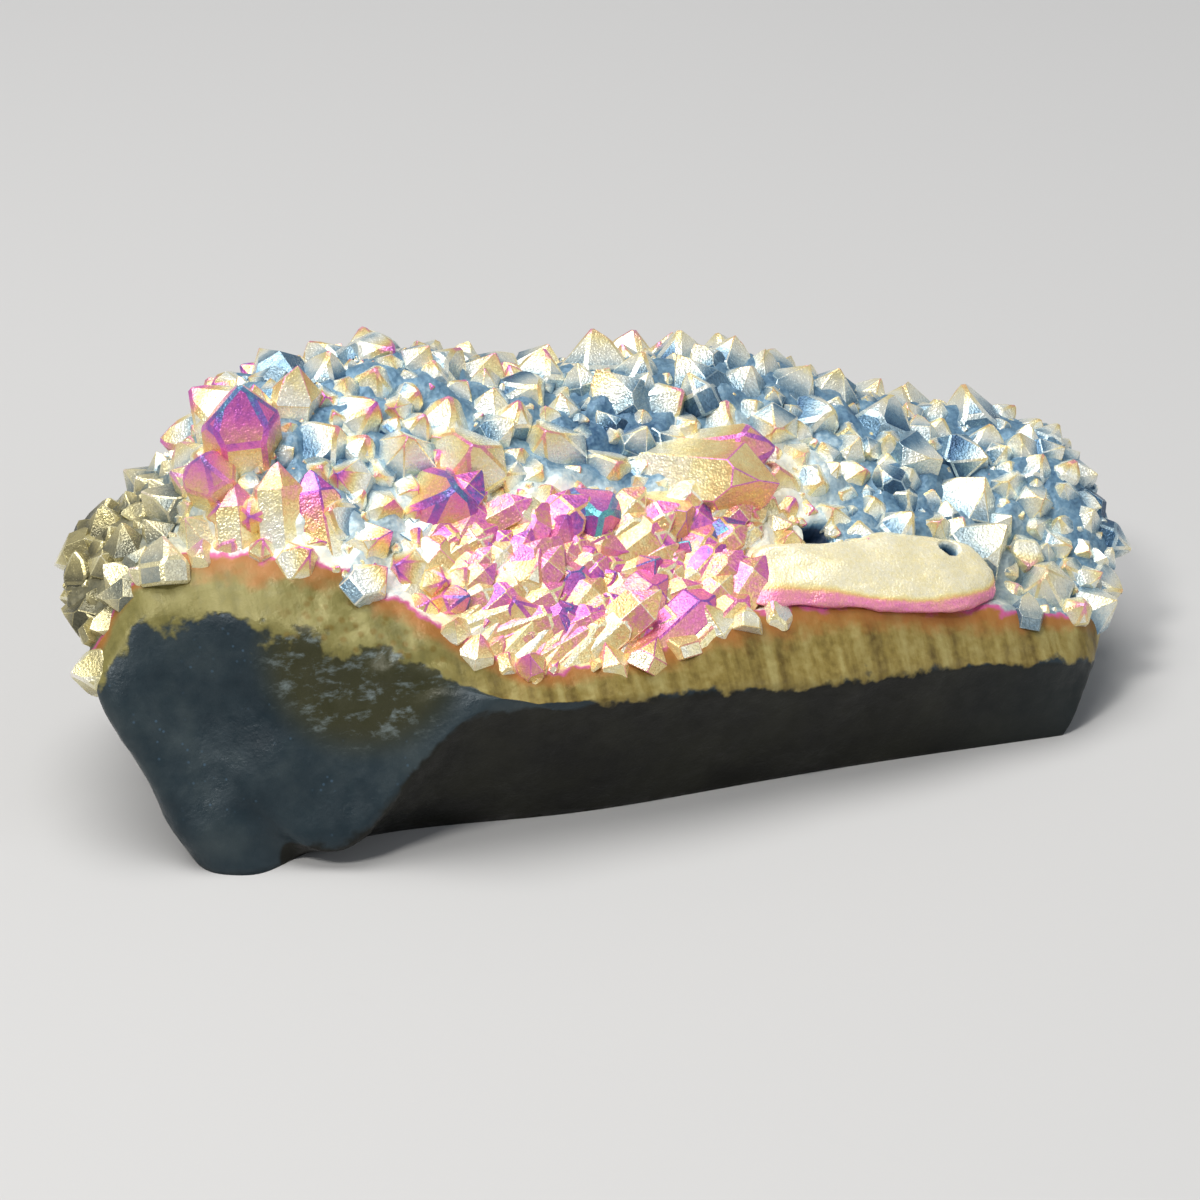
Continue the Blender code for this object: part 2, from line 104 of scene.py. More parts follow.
# Broken stone is never smooth: the body is pushed in and out by noise, but not near the underside.
LUMP_HEIGHT = .0007
LUMP_SIZE = .0075
LUMP_FREE_ABOVE = .0030
BED_ROUGHNESS = .0012        # between the large crystals the bed is a heap of small ones
BED_GRAIN = .0022
WOUND = (-.0250, -.0145, .0165)      # here the broken front is torn into steps
WOUND_REACH = .0075
WOUND_HEIGHT = .0009
WOUND_GRAIN = .0030

# Crystals of the crust, by where they stand: (middle, reach, smallest width, largest width).
SEED = 2
RHOMB_TILT = math.radians(51.8)   # between the axis of a quartz crystal and the normal of its tip faces
REGIONS = (
    ((-.0430, .0000, .0180), .0110, .0036, .0048),    # left end
    ((.0440, .0000, .0120), .0120, .0036, .0048),     # right end
    ((-.0270, -.0070, .0240), .0080, .0036, .0048),   # upper left slope
    ((-.0150, -.0100, .0210), .0070, .0036, .0048),
    ((-.0020, -.0130, .0180), .0110, .0034, .0044),   # broken front
    ((.0180, -.0120, .0160), .0120, .0034, .0046),    # round the ledge
)
USUAL_WIDTH = (.0048, .0070)
SPACING = 0.38               # of the two widths together
PLACING_TRIES = 9000
HEIGHT_SHARE = (0.42, 0.60)  # of the width, from the body to the tip
LEAN = 0.50                  # most sideways lean against the body's normal
FOOT_SHARE = 0.45            # of the width, from the body down into it
LARGE_FACE_DROP = (0.0, 0.16)      # of the width: how far below the tip the large tip faces start,
SMALL_FACE_DROP = (-0.06, 0.04)    # and the small ones

# Larger crystals and splinters with a place of their own: foot, tip and width.
SINGLE_CRYSTALS = (
    ((-.0300, .0010, .0275), (-.0308, -.0006, .0345), .0066),   # spur over the left end
    ((-.0255, .0040, .0285), (-.0250, .0035, .0335), .0052),
    ((-.0330, -.0010, .0260), (-.0345, -.0025, .0298), .0048),
    ((-.0150, -.0040, .0215), (-.0145, -.0078, .0262), .0084),  # pink blocks, left of the middle
    ((-.0120, -.0005, .0235), (-.0128, -.0040, .0282), .0070),
    ((-.0035, -.0050, .0190), (-.0035, -.0102, .0226), .0072),  # violet cone
    ((.0030, -.0055, .0185), (.0040, -.0095, .0220), .0064),
    ((.0050, -.0010, .0205), (.0126, -.0086, .0218), .0070),    # long crystal above the ledge
    ((.0085, .0000, .0215), (.0137, -.0045, .0236), .0048),
)
SPLINTER_FLATNESS = 0.6      # they lie flattened against the broken slope,
BROKEN_SLOPE = Vector((.0, -.62, .78))    # which faces this way
SPLINTERS = (
    ((-.0090, -.0168, .0138), (.0016, -.0122, .0178), .0044),
    ((-.0045, -.0182, .0128), (.0048, -.0138, .0166), .0040),
    ((.0008, -.0176, .0130), (.0078, -.0138, .0162), .0036),
    ((-.0125, -.0150, .0150), (-.0050, -.0102, .0196), .0042),
    ((-.0210, -.0108, .0180), (-.0150, -.0078, .0220), .0042),
    ((-.0290, -.0066, .0205), (-.0284, -.0030, .0284), .0042),
    ((-.0322, -.0056, .0205), (-.0318, -.0024, .0270), .0040),
    ((-.0255, -.0076, .0205), (-.0256, -.0032, .0275), .0040),
)

# The smooth ledge that hangs over the front on the right. Each station is a ring of six points.
LEDGE_RING = ("top", "upper", "crown", "rim", "under", "core")
LEDGE_STATIONS = (
    ((.0086, -.0102, .0172), (.0085, -.0105, .0176), (.0082, -.0112, .0176), (.0064, -.0152, .0153),
     (.0065, -.0152, .0148), (.0078, -.0125, .0160)),
    ((.0104, -.0098, .0172), (.0103, -.0104, .0183), (.0101, -.0112, .0184), (.0086, -.0158, .0156),
     (.0087, -.0157, .0148), (.0098, -.0125, .0155)),
    ((.0132, -.0104, .0168), (.0130, -.0110, .0178), (.0127, -.0121, .0179), (.0118, -.0160, .0153),
     (.0119, -.0159, .0144), (.0126, -.0125, .0148)),
    ((.0172, -.0098, .0164), (.0168, -.0108, .0176), (.0159, -.0138, .0168), (.0152, -.0164, .0148),
     (.0153, -.0163, .0139), (.0162, -.0118, .0144)),
    ((.0202, -.0084, .0165), (.0200, -.0098, .0176), (.0188, -.0152, .0155), (.0184, -.0169, .0141),
     (.0185, -.0168, .0131), (.0196, -.0114, .0136)),
    ((.0232, -.0084, .0160), (.0232, -.0098, .0170), (.0225, -.0144, .0153), (.0218, -.0171, .0133),
     (.0219, -.0169, .0123), (.0228, -.0112, .0128)),
    ((.0264, -.0084, .0151), (.0264, -.0098, .0161), (.0260, -.0134, .0149), (.0250, -.0167, .0128),
     (.0251, -.0165, .0118), (.0259, -.0115, .0121)),
    ((.0286, -.0096, .0138), (.0287, -.0106, .0148), (.0284, -.0128, .0144), (.0276, -.0154, .0127),
     (.0277, -.0153, .0117), (.0283, -.0120, .0118)),
    ((.0296, -.0114, .0125), (.0299, -.0119, .0131), (.0299, -.0130, .0128), (.0295, -.0140, .0122),
     (.0294, -.0139, .0115), (.0296, -.0126, .0114)),
)
LEDGE_CREASE = 0.6
LEDGE_RIDGE_STATIONS = 4     # its crown is a ridge as far as this station
LEDGE_FREE = .0040           # no crystal this close to the line halfway from its crown to its rim

# Pits: mouth, direction inwards, radius at the mouth.
PITS = (
    ((.0156, -.0089, .0182), (-.05, .55, -.80), .00105),
    ((.0262, -.0112, .0156), (-.10, .45, -.85), .00080),
    ((.0077, -.0109, .0182), (.0, .50, -.85), .00060),
)
PIT_FREE = .0020             # no crystal this close to a pit's edge
PIT_DEPTH = .0034

# What centres the solid on the origin in plan.
SHIFT = Vector((.000522, .000189, 0))

# ---- Fields on the body --------------------------------------------------------------------------

# A height-like value at each point of a ring: bare stone low, the golden band, then crystals.
RING_LEVEL = dict(zip(RING, (0, 1, 2, 3, 4, 5, 6, 3, 1, 0)))
BED_LEVELS = (3.0, 3.35)         # between these the bed sinks
SHOWN_SMOOTHING = 4
SHOWN_LEDGE_SMOOTHING = 4

# Relief of the shown stone that is finer than the solid's: height and size.
WAVES = (.00022, .0045)
GRIT = (.00006, .0010)
GRAINS = (.00040, .0011)         # the bed between the crystals is made of grains
TEARS = (.00090, .0019)          # ridges where the broken front is torn,
TORN_REACH = 1.3                 # as far as this many reaches of the wound

# The film on the crystals, by place: middle, reach, the film's value at a tip, its fall from tip to foot,
# and the share of the olive-gold colours. Values as in FILM_AND_SHADE_COLOURS. The fall paints shade into the
# valleys besides a thinner film there, and the pale cream near the tips partly paints highlights.
FILM_PLACES = {
    "left_end": ((-.0420, -.0010, .0180), .0055, .50, .26, .90),
    "left_corner": ((-.0385, -.0055, .0195), .0026, .68, .12, .35),
    "left_facets": ((-.0320, -.0045, .0250), .0036, .69, .26, .00),
    "spur": ((-.0305, -.0004, .0325), .0032, .92, .36, .00),
    "left_lip": ((-.0275, -.0085, .0220), .0030, .76, .16, .00),
    "left_top": ((-.0240, -.0030, .0270), .0042, .66, .52, .00),
    "left_pocket": ((-.0225, -.0080, .0222), .0030, .80, .52, .00),
    "pink_blocks": ((-.0155, -.0065, .0240), .0044, .80, .30, .00),
    "pink_grains": ((-.0135, -.0130, .0185), .0042, .73, .16, .05),
    "pink_lip": ((-.0080, -.0182, .0145), .0028, .76, .12, .00),
    "splinters": ((-.0030, -.0140, .0165), .0044, .70, .18, .00),
    "violet_cone": ((-.0035, -.0078, .0210), .0030, .91, .12, .00),
    "magenta_blocks": ((.0035, -.0088, .0200), .0030, .80, .16, .00),
    "long_crystal": ((.0092, -.0042, .0215), .0032, .76, .34, .00),
    "rose_grains": ((.0140, -.0040, .0208), .0034, .70, .12, .05),
    "above_ledge": ((.0210, -.0062, .0178), .0036, .54, .34, .05),
    "beside_ledge": ((.0315, -.0112, .0130), .0036, .58, .26, .45),
    "right_end": ((.0400, -.0080, .0100), .0060, .54, .34, .05),
    "right_top": ((.0300, .0020, .0190), .0070, .57, .38, .05),
    "blue_pocket": ((.0020, -.0005, .0240), .0036, .50, .44, .00),
    "back_right": ((.0130, .0090, .0270), .0070, .61, .42, .05),
    "back_middle": ((-.0050, .0060, .0280), .0070, .67, .46, .00),
    "back_left": ((-.0210, .0060, .0310), .0070, .70, .50, .00),
    "behind": ((.0000, .0180, .0240), .0120, .60, .38, .25),
}
FILM_DRIFT = .06             # how far the film wanders over a few crystals,
FILM_DRIFT_SIZE = .0060      # and over what distance
FILM_BY_CRYSTAL = .09        # how far one crystal may differ from the next,
FILM_BY_FACE = .08           # and one face from the next
EDGE_FILM = .13              # the film is thicker on the worn edges
FILM_CURVE = 1.7             # above 1 the foot's colours, painted shade among them, stay in the valleys
BED_FALL_AND_SHADE = 1.05              # how much of the fall from tip to foot, with its painted shade, the bed shows
PIT_PAINTED_SHADE = -.90              # the change in a pit, which paints shade into it

# A pit as it is shown: its depth against the solid's, and where its wall starts and ends, in radii.
PIT_PRESS = .7
PIT_WALL = (.7, 1.2)

# Small crystals between the large ones: widths, tries, spacing, heights as shares of the width, lean.
MEDIUM = dict(widths=(.0024, .0040), tries=12000, spacing=.30, heights=(.40, .70), lean=.60)
FINE = dict(widths=(.0009, .0017), tries=26000, spacing=.36, heights=(.35, .70), lean=.70)
STOCK = 18
SMALL_LEDGE_FREE = .75       # of LEDGE_FREE
SMALL_PIT_FREE = 1.5         # in radii of the pit, and then half the crystal's width
WORN_SHARE = .050            # how far the edges are worn, of a large crystal's width
SMALL_WORN_SHARE = .085

# Shards that lie on the broken slope at the front, all more or less along one direction.
SHARDS = 210
SHARD_EDGE_FILM = -.17       # their crests are paler than their slopes
SHARD_SUNK = .30             # of its width, into the slope,
SHARD_BACK = .6              # and back along its axis
SHARD_ALONG = Vector((1.0, .42, .46))
SHARD_TURN = .42
SHARD_RISE = (.0, .35)       # how far its axis stands out of the slope
SHARD_WIDTH = (.0015, .0042)
SHARD_LENGTH = (1.3, 2.4)    # of the width
SHARD_REGION = (-.0165, .0098)   # along X
SHARD_LEVELS = (3.2, 4.5)        # as in RING_LEVEL

# The ledge shown: how near each point of its ring is to the rim, then its film and its relief.
LEDGE_RIM = {"rim": 1.0, "under": 1.0, "crown": .25}
LEDGE_RIM_FROM = .72             # how far from the rim its film is the rim's
LEDGE_FILM = (.53, .74)          # on its top and at its rim
LEDGE_FLOW = (.00012, .0010, .25)    # height and size of its flow lines, and their stretch along X
LEDGE_SWELL = (.00028, .0030)


# ---- Shape of the stone --------------------------------------------------------------------------


def evaluated_mesh(obj):
    bpy.context.view_layer.update()
    graph = bpy.context.evaluated_depsgraph_get()
    return bpy.data.meshes.new_from_object(obj.evaluated_get(graph), depsgraph=graph)


def new_piece(name, mesh):
    obj = bpy.data.objects.new(name, mesh)
    bpy.context.scene.collection.objects.link(obj)
    return obj


def undercut(station, name):
    """Positive on the side under the keel, where the stone's colour is painted shade; negative on the lit
    broken side.
    """
    if station <= KEEL_STATIONS[0] or name not in RING[:3]:
        return -1.0
    if name == "base_front":
        return 1.0
    past_keel = station > KEEL_STATIONS[1]
    if name == "keel":
        return 1.0 if past_keel else 0.0
    return 0.0 if past_keel else -1.0


def body_cage():
    bm = bmesh.new()
    crease = bm.edges.layers.float.new("crease_edge")
    level = bm.verts.layers.float.new("level")
    under = bm.verts.layers.float.new("under")
    rings = []
    for number, station in enumerate(STATIONS):
        ring = [bm.verts.new(point) for point in station]
        for vertex, name in zip(ring, RING):
            vertex[level] = RING_LEVEL[name]
            vertex[under] = undercut(number, name)
        rings.append(ring)
    count = len(RING)
    for left, right in zip(rings, rings[1:]):
        for i, name in enumerate(RING):
            j = (i + 1) % count
            face = bm.faces.new((left[i], left[j], right[j], right[i]))
            face.material_index = ZONES.get(name, STONE)
    for ring in (rings[0], rings[-1]):
        for row in range(count // 2 - 1):
            face = bm.faces.new((ring[row], ring[count - 1 - row], ring[count - 2 - row], ring[row + 1]))
            face.material_index = DRUSE if row >= DRUSE_END_ROW else STONE
    bmesh.ops.recalc_face_normals(bm, faces=bm.faces)
    for station, (left, right) in enumerate(zip(rings, rings[1:])):
        for i, name in enumerate(RING):
            edge = bm.edges.get((left[i], right[i]))
            edge[crease] = CREASES.get(name, 0.0)
            if name == "keel" and KEEL_STATIONS[0] <= station < KEEL_STATIONS[1]:
                edge[crease] = KEEL_CREASE
    for ring in (rings[0], rings[-1]):
        for i in range(count):
            edge = bm.edges.get((ring[i], ring[(i + 1) % count]))
            edge[crease] = 1.0 if i == count - 1 else END_CREASE
    mesh = bpy.data.meshes.new("body_cage")
    bm.to_mesh(mesh)
    bm.free()
    return mesh


def smooth_bodies():
    """The body at the solid's fineness and at the one shown, both through the stations' points."""
    cage = new_piece("body_cage", body_cage())
    smooth = cage.modifiers.new("smooth", "SUBSURF")
    smooth.levels = smooth.render_levels = SMOOTHING
    wanted = np.array([point for station in STATIONS for point in station])
    for _ in range(FIT_ROUNDS):
        shape = evaluated_mesh(cage)
        reached = np.array([vertex.co for vertex in shape.vertices[:len(wanted)]])
        bpy.data.meshes.remove(shape)
        for vertex, move in zip(cage.data.vertices, wanted - reached):
            vertex.co += Vector(move)
    solid = evaluated_mesh(cage)
    smooth.levels = smooth.render_levels = SHOWN_SMOOTHING
    shown = evaluated_mesh(cage)
    bpy.data.objects.remove(cage)
    return solid, shown


def relief(point, on_bed):
    """How far a point of the body moves outwards. The underside stays flat."""
    height = noise.noise(point / LUMP_SIZE) * LUMP_HEIGHT
    torn = max(0.0, 1 - (point - Vector(WOUND)).length / WOUND_REACH)
    height += noise.noise(point / WOUND_GRAIN) * WOUND_HEIGHT * torn
    if on_bed:
        rough = noise.noise(point / BED_GRAIN) * BED_ROUGHNESS
        height += (rough - BED_DEPTH) * min(1.0, max(0.0, (BED_HALF_LENGTH - abs(point.x)) / BED_FADE))
    return height * min(1.0, max(0.0, point.z / LUMP_FREE_ABOVE))


def add_relief(mesh):
    bed = {i for polygon in mesh.polygons if polygon.material_index == DRUSE for i in polygon.vertices}
    rim = {i for polygon in mesh.polygons if polygon.material_index != DRUSE for i in polygon.vertices}
    moves = [vertex.normal * relief(vertex.co, vertex.index in bed - rim) for vertex in mesh.vertices]
    for vertex, move in zip(mesh.vertices, moves):
        vertex.co += move


def smoothstep(x, low, high):
    t = np.clip((x - low) / (high - low), 0, 1)
    return t * t * (3 - 2 * t)


def numbers(mesh, name):
    values = np.zeros(len(mesh.vertices), np.float32)
    mesh.attributes[name].data.foreach_get("value", values)
    return values.astype(float)


def store(mesh, domain="POINT", **fields):
    for name, values in fields.items():
        layer = mesh.attributes.new(name, "FLOAT", domain)
        layer.data.foreach_set("value", np.asarray(values, np.float32))


def points_and_normals(mesh):
    both = []
    for name in ("co", "normal"):
        values = np.zeros(len(mesh.vertices) * 3, np.float32)
        mesh.vertices.foreach_get(name, values)
        both.append(values.reshape(-1, 3).astype(float))
    return both


def waves(points, size, octaves=1):
    return np.array([noise.fractal(Vector(p) / size, 1.0, 2.0, octaves) for p in points])


def grains(points, size):
    """Rounded grains: 1 in the middle of each and 0 between them."""
    return np.array([1 - min(1.0, noise.voronoi(Vector(p) / size)[0][0]) for p in points])


def pressed(points):
    """How the pits move each point inwards, and how much of a pit there is at each of them."""
    moves, deep = np.zeros((len(points), 3)), np.zeros(len(points))
    for mouth, inwards, radius in PITS:
        away = points - np.array(mouth)
        along = np.array(Vector(inwards).normalized())
        side = np.linalg.norm(away - np.outer(away @ along, along), axis=1)
        near = (1 - smoothstep(side / radius, *PIT_WALL)) * (np.abs(away @ along) < PIT_DEPTH)
        moves += np.outer(near * PIT_DEPTH * PIT_PRESS, along)
        deep = np.maximum(deep, near)
    return moves, deep


def finish_stone(mesh):
    """The solid's relief on the finer mesh, the fine relief, and the fields that the material reads."""
    points, normals = points_and_normals(mesh)
    bed = smoothstep(numbers(mesh, "level"), *BED_LEVELS)
    bare = 1 - bed
    height = np.array([relief(Vector(p), False) * (1 - share) + relief(Vector(p), True) * share
                       for p, share in zip(points, bed)])
    torn = np.clip(1 - np.linalg.norm(points - np.array(WOUND), axis=1) / (TORN_REACH * WOUND_REACH), 0, 1)
    fine = bare * (waves(points, WAVES[1], 4) * WAVES[0] + waves(points, GRIT[1]) * GRIT[0])
    fine += bed * grains(points, GRAINS[1]) * GRAINS[0]
    fine += bare * torn * (.5 - np.abs(waves(points, TEARS[1], 3))) * TEARS[0]
    height += fine * np.clip(points[:, 2] / LUMP_FREE_ABOVE, 0, 1)
    points += normals * height[:, None]
    # The fall to the foot paints shade into the bed as well as a thinner film.
    tip, fall, gold = film_of(points).T
    moves, deep = pressed(points)
    points += moves
    points += np.array(SHIFT)
    mesh.vertices.foreach_set("co", points.astype(np.float32).ravel())
    # Painted shade in the pits: their film value drops towards the dark end.
    store(mesh, bed=bed, torn=torn, film=tip - fall * BED_FALL_AND_SHADE + PIT_PAINTED_SHADE * deep, gold=gold)
    for polygon in mesh.polygons:
        polygon.use_smooth = True
        polygon.material_index = 0
    mesh.update()


def ledge_cage():
    bm = bmesh.new()
    rim = bm.verts.layers.float.new("rim")
    rings = []
    for station in LEDGE_STATIONS:
        ring = [bm.verts.new(point) for point in station]
        for vertex, name in zip(ring, LEDGE_RING):
            vertex[rim] = LEDGE_RIM.get(name, 0.0)
        rings.append(ring)
    for left, right in zip(rings, rings[1:]):
        for i in range(len(left)):
            j = (i + 1) % len(left)
            bm.faces.new((left[i], left[j], right[j], right[i]))
    for ring in (rings[0], rings[-1]):
        bm.faces.new(ring)
        for vertex in ring:
            vertex[rim] = 1.0
    bmesh.ops.recalc_face_normals(bm, faces=bm.faces)
    crease = bm.edges.layers.float.new("crease_edge")
    crown = LEDGE_RING.index("crown")
    for left, right in zip(rings[:LEDGE_RIDGE_STATIONS], rings[1:]):
        bm.edges.get((left[crown], right[crown]))[crease] = LEDGE_CREASE
    mesh = bpy.data.meshes.new("golden_ledge")
    bm.to_mesh(mesh)
    bm.free()
    return mesh


def golden_ledge():
    """The ledge with its pits pressed in and painted shade in them, and fine flow lines along it."""
    cage = new_piece("ledge_cage", ledge_cage())
    smooth = cage.modifiers.new("smooth", "SUBSURF")
    smooth.levels = smooth.render_levels = SHOWN_LEDGE_SMOOTHING
    mesh = evaluated_mesh(cage)
    bpy.data.objects.remove(cage)
    points, normals = points_and_normals(mesh)
    rim = numbers(mesh, "rim")
    flow = waves(points * np.array([LEDGE_FLOW[2], 1, 1]), LEDGE_FLOW[1], 3) * LEDGE_FLOW[0]
    points = points + normals * (flow + waves(points, LEDGE_SWELL[1]) * LEDGE_SWELL[0])[:, None]
    moves, deep = pressed(points)
    points = points + moves
    top, edge = LEDGE_FILM
    # Painted shade in the pits: their film value drops towards the dark end.
    film = top + (edge - top) * smoothstep(rim, LEDGE_RIM_FROM, 1.0) + PIT_PAINTED_SHADE * deep
    mesh.vertices.foreach_set("co", (points + np.array(SHIFT)).astype(np.float32).ravel())
    store(mesh, film=film, gold=np.zeros(len(points)))
    mesh.update()
    for polygon in mesh.polygons:
        polygon.use_smooth = True
    return new_piece("golden_ledge", mesh)


# ---- Crystals ------------------------------------------------------------------------------------


def quartz_crystal(width, height, rng):
    """A six-sided crystal on the origin, its tip at +Z. Three tip faces are large and three small."""
    bm = bmesh.new()
    foot = width * FOOT_SHARE
    bmesh.ops.create_cone(bm, cap_ends=True, segments=6, radius1=width / 2, radius2=width / 2,
                          depth=height + foot, matrix=Matrix.Translation((0, 0, (height - foot) / 2)))
    first_large = rng.randrange(2)
    for side in range(6):
        turn = math.radians(60 * side)
        drop = width * rng.uniform(*(LARGE_FACE_DROP if side % 2 == first_large else SMALL_FACE_DROP))
        normal = Vector((math.cos(turn) * math.sin(RHOMB_TILT), math.sin(turn) * math.sin(RHOMB_TILT),
                         math.cos(RHOMB_TILT)))
        cut = bmesh.ops.bisect_plane(bm, geom=bm.verts[:] + bm.edges[:] + bm.faces[:],
                                     plane_co=Vector((0, 0, height - drop)), plane_no=normal, clear_outer=True)
        rim = [item for item in cut["geom_cut"] if isinstance(item, bmesh.types.BMEdge)]
        if len(rim) > 2:
            bmesh.ops.contextual_create(bm, geom=rim)
    return bm


def standing(axis, rng):
    """Turns +Z to the axis, and the crystal by any angle about it."""
    return axis.to_track_quat("Z", "Y").to_matrix().to_4x4() @ Matrix.Rotation(rng.uniform(0, math.tau), 4, "Z")


def lying(axis):
    """Turns +Z to the axis, and flattens the crystal against the broken slope."""
    across = BROKEN_SLOPE.cross(axis).normalized()
    turn = Matrix((across, axis.cross(across), axis)).transposed().to_4x4()
    return turn @ Matrix.Scale(SPLINTER_FLATNESS, 4, (0, 1, 0))


def crystal_width(point, rng):
    low, high = USUAL_WIDTH
    for middle, reach, least, most in REGIONS:
        if (point - Vector(middle)).length < reach:
            low, high = least, most
            break
    return rng.uniform(low, high)


def kept_free(point, ledge_reach, radii, extra):
    """True near the ledge and at the pits, where no crystal stands."""
    crown, rim = LEDGE_RING.index("crown"), LEDGE_RING.index("rim")
    ledge = (((Vector(station[crown]) + Vector(station[rim])) / 2, ledge_reach) for station in LEDGE_STATIONS)
    pits = ((Vector(mouth), radius * radii + extra) for mouth, _, radius in PITS)
    return any((point - middle).length < reach for middle, reach in (*ledge, *pits))


def crystal_side(mesh):
    """The triangles of the crystals' side, and their areas summed one by one."""
    mesh.calc_loop_triangles()
    faces = [t for t in mesh.loop_triangles if mesh.polygons[t.polygon_index].material_index == DRUSE]
    return faces, np.cumsum([t.area for t in faces])


def random_point(mesh, faces, reach, rng):
    face = faces[int(np.searchsorted(reach, rng.random() * reach[-1]))]
    u, v = rng.random(), rng.random()
    if u + v > 1:
        u, v = 1 - u, 1 - v
    a, b, c = (mesh.vertices[i].co for i in face.vertices)
    return a + (b - a) * u + (c - a) * v, face.normal.copy()


def crystal_sites(body, rng):
    """Places on the crystal side, no two closer than their widths allow: (point, normal, width)."""
    faces, reach = crystal_side(body)
    sites = [(Vector(foot), None, width) for foot, _, width in SINGLE_CRYSTALS]
    for _ in range(PLACING_TRIES):
        point, normal = random_point(body, faces, reach, rng)
        width = crystal_width(point, rng)
        if kept_free(point, LEDGE_FREE, 1, PIT_FREE):
            continue
        if all((point - other).length > SPACING * (width + wide) for other, _, wide in sites):
            sites.append((point, normal, width))
    return sites[len(SINGLE_CRYSTALS):]


def film_of(points):
    """The film at a tip, its fall to the foot, which also paints shade into the valleys, and the olive-gold
    share at each of the points.
    """
    places = list(FILM_PLACES.values())
    middles = np.array([place[0] for place in places])
    reaches = np.array([place[1] for place in places])
    values = np.array([place[2:] for place in places])
    apart = np.linalg.norm(points[:, None, :] - middles[None], axis=2) / reaches
    weight = np.exp(-apart ** 2 / 2) + 1e-6 / (1 + apart ** 4)
    return (weight @ values) / weight.sum(axis=1, keepdims=True)


def wear(bm, offset):
    """Wears the edges of a crystal. The worn faces get material index 1."""
    bmesh.ops.recalc_face_normals(bm, faces=bm.faces)
    for face in bm.faces:
        face.material_index = 0
    worn = bmesh.ops.bevel(bm, geom=bm.edges[:], offset=offset, segments=1, profile=0.5,
                           affect="EDGES", clamp_overlap=True)
    for face in worn["faces"]:
        face.material_index = 1


def worn_crystal(width, height, rng, share=WORN_SHARE):
    """Points, faces, which faces are worn, and each point's share of the height."""
    bm = quartz_crystal(width, height, rng)
    wear(bm, width * share)
    bm.verts.index_update()
    points = np.array([v.co for v in bm.verts])
    faces = [tuple(v.index for v in face.verts) for face in bm.faces]
    worn = np.array([face.material_index == 1 for face in bm.faces])
    bm.free()
    return points, faces, worn, np.clip(points[:, 2] / height, 0, 1)


class Crowd:
    """Closed crystals gathered into one piece, with the film's values on them."""

    def __init__(self, edge=EDGE_FILM):
        self.edge = edge
        self.points, self.faces, self.film, self.gold, self.facet = [], [], [], [], []
        self.count = 0

    def add(self, shape, place, rng):
        points, faces, worn, rise = shape
        place = np.array(place)
        points = points @ place[:3, :3].T + place[:3, 3]
        middle = points.mean(axis=0)
        tip, fall, gold = film_of(middle[None])[0]
        drift = noise.noise(Vector(middle) / FILM_DRIFT_SIZE) * FILM_DRIFT
        own = rng.uniform(-FILM_BY_CRYSTAL, FILM_BY_CRYSTAL)
        facet = np.array([rng.uniform(-FILM_BY_FACE, FILM_BY_FACE) for _ in faces])
        self.points.append(points)
        self.faces.extend(tuple(i + self.count for i in face) for face in faces)
        # The fall to the foot paints shade into the valleys as well as a thinner film; the pale cream near the
        # tips partly paints highlights.
        self.film.append(tip + own + drift - fall * (1 - rise) ** FILM_CURVE)
        self.gold.append(np.full(len(points), gold))
        self.facet.append(np.where(worn, self.edge, facet))
        self.count += len(points)

    def piece(self, name):
        mesh = bpy.data.meshes.new(name)
        mesh.from_pydata(np.concatenate(self.points) + np.array(SHIFT), [], self.faces)
        store(mesh, film=np.concatenate(self.film), gold=np.concatenate(self.gold))
        store(mesh, "FACE", facet=np.concatenate(self.facet))
        mesh.update()
        return new_piece(name, mesh)


def large_crystals(solid):
    """The solid's own crystals, drawn in the same order, with worn edges. Also their places."""
    rng = random.Random(SEED)
    look = random.Random(SEED + 1)
    crowd = Crowd()
    taken = []

    def grow(foot, turn, width, height):
        crowd.add(worn_crystal(width, height, rng), Matrix.Translation(foot) @ turn, look)
        taken.append((*foot, width))

    for point, normal, width in crystal_sites(solid, rng):
        lean = Vector([rng.uniform(-LEAN, LEAN) for _ in range(3)])
        height = width * rng.uniform(*HEIGHT_SHARE)
        grow(point, standing((normal + lean).normalized(), rng), width, height)
    for foot, tip, width in SINGLE_CRYSTALS:
        axis = Vector(tip) - Vector(foot)
        grow(foot, standing(axis.normalized(), rng), width, axis.length)
    for foot, tip, width in SPLINTERS:
        axis = Vector(tip) - Vector(foot)
        grow(foot, lying(axis.normalized()), width, axis.length)
    return crowd, taken


def small_kept_free(point, width):
    """True where a small crystal would show through the ledge or stand in a pit."""
    return kept_free(point, LEDGE_FREE * SMALL_LEDGE_FREE, SMALL_PIT_FREE, width / 2)


def small_crystals(solid, taken, widths, tries, spacing, heights, lean, seed):
    """Crystals in the gaps between those that stand already, copied from a small stock."""
    rng = random.Random(seed)
    stock = [worn_crystal(1.0, rng.uniform(*heights), rng, SMALL_WORN_SHARE) for _ in range(STOCK)]
    faces, reach = crystal_side(solid)
    crowd = Crowd()
    for _ in range(tries):
        point, normal = random_point(solid, faces, reach, rng)
        width = rng.uniform(*widths)
        others = np.array(taken)
        if (np.linalg.norm(others[:, :3] - point, axis=1) < spacing * (width + others[:, 3])).any():
            continue
        if small_kept_free(point, width):
            continue
        taken.append((*point, width))
        axis = (normal + Vector([rng.uniform(-lean, lean) for _ in range(3)])).normalized()
        turn = Matrix.Translation(point) @ standing(axis, rng) @ Matrix.Scale(width, 4)
        crowd.add(rng.choice(stock), turn, rng)
    return crowd


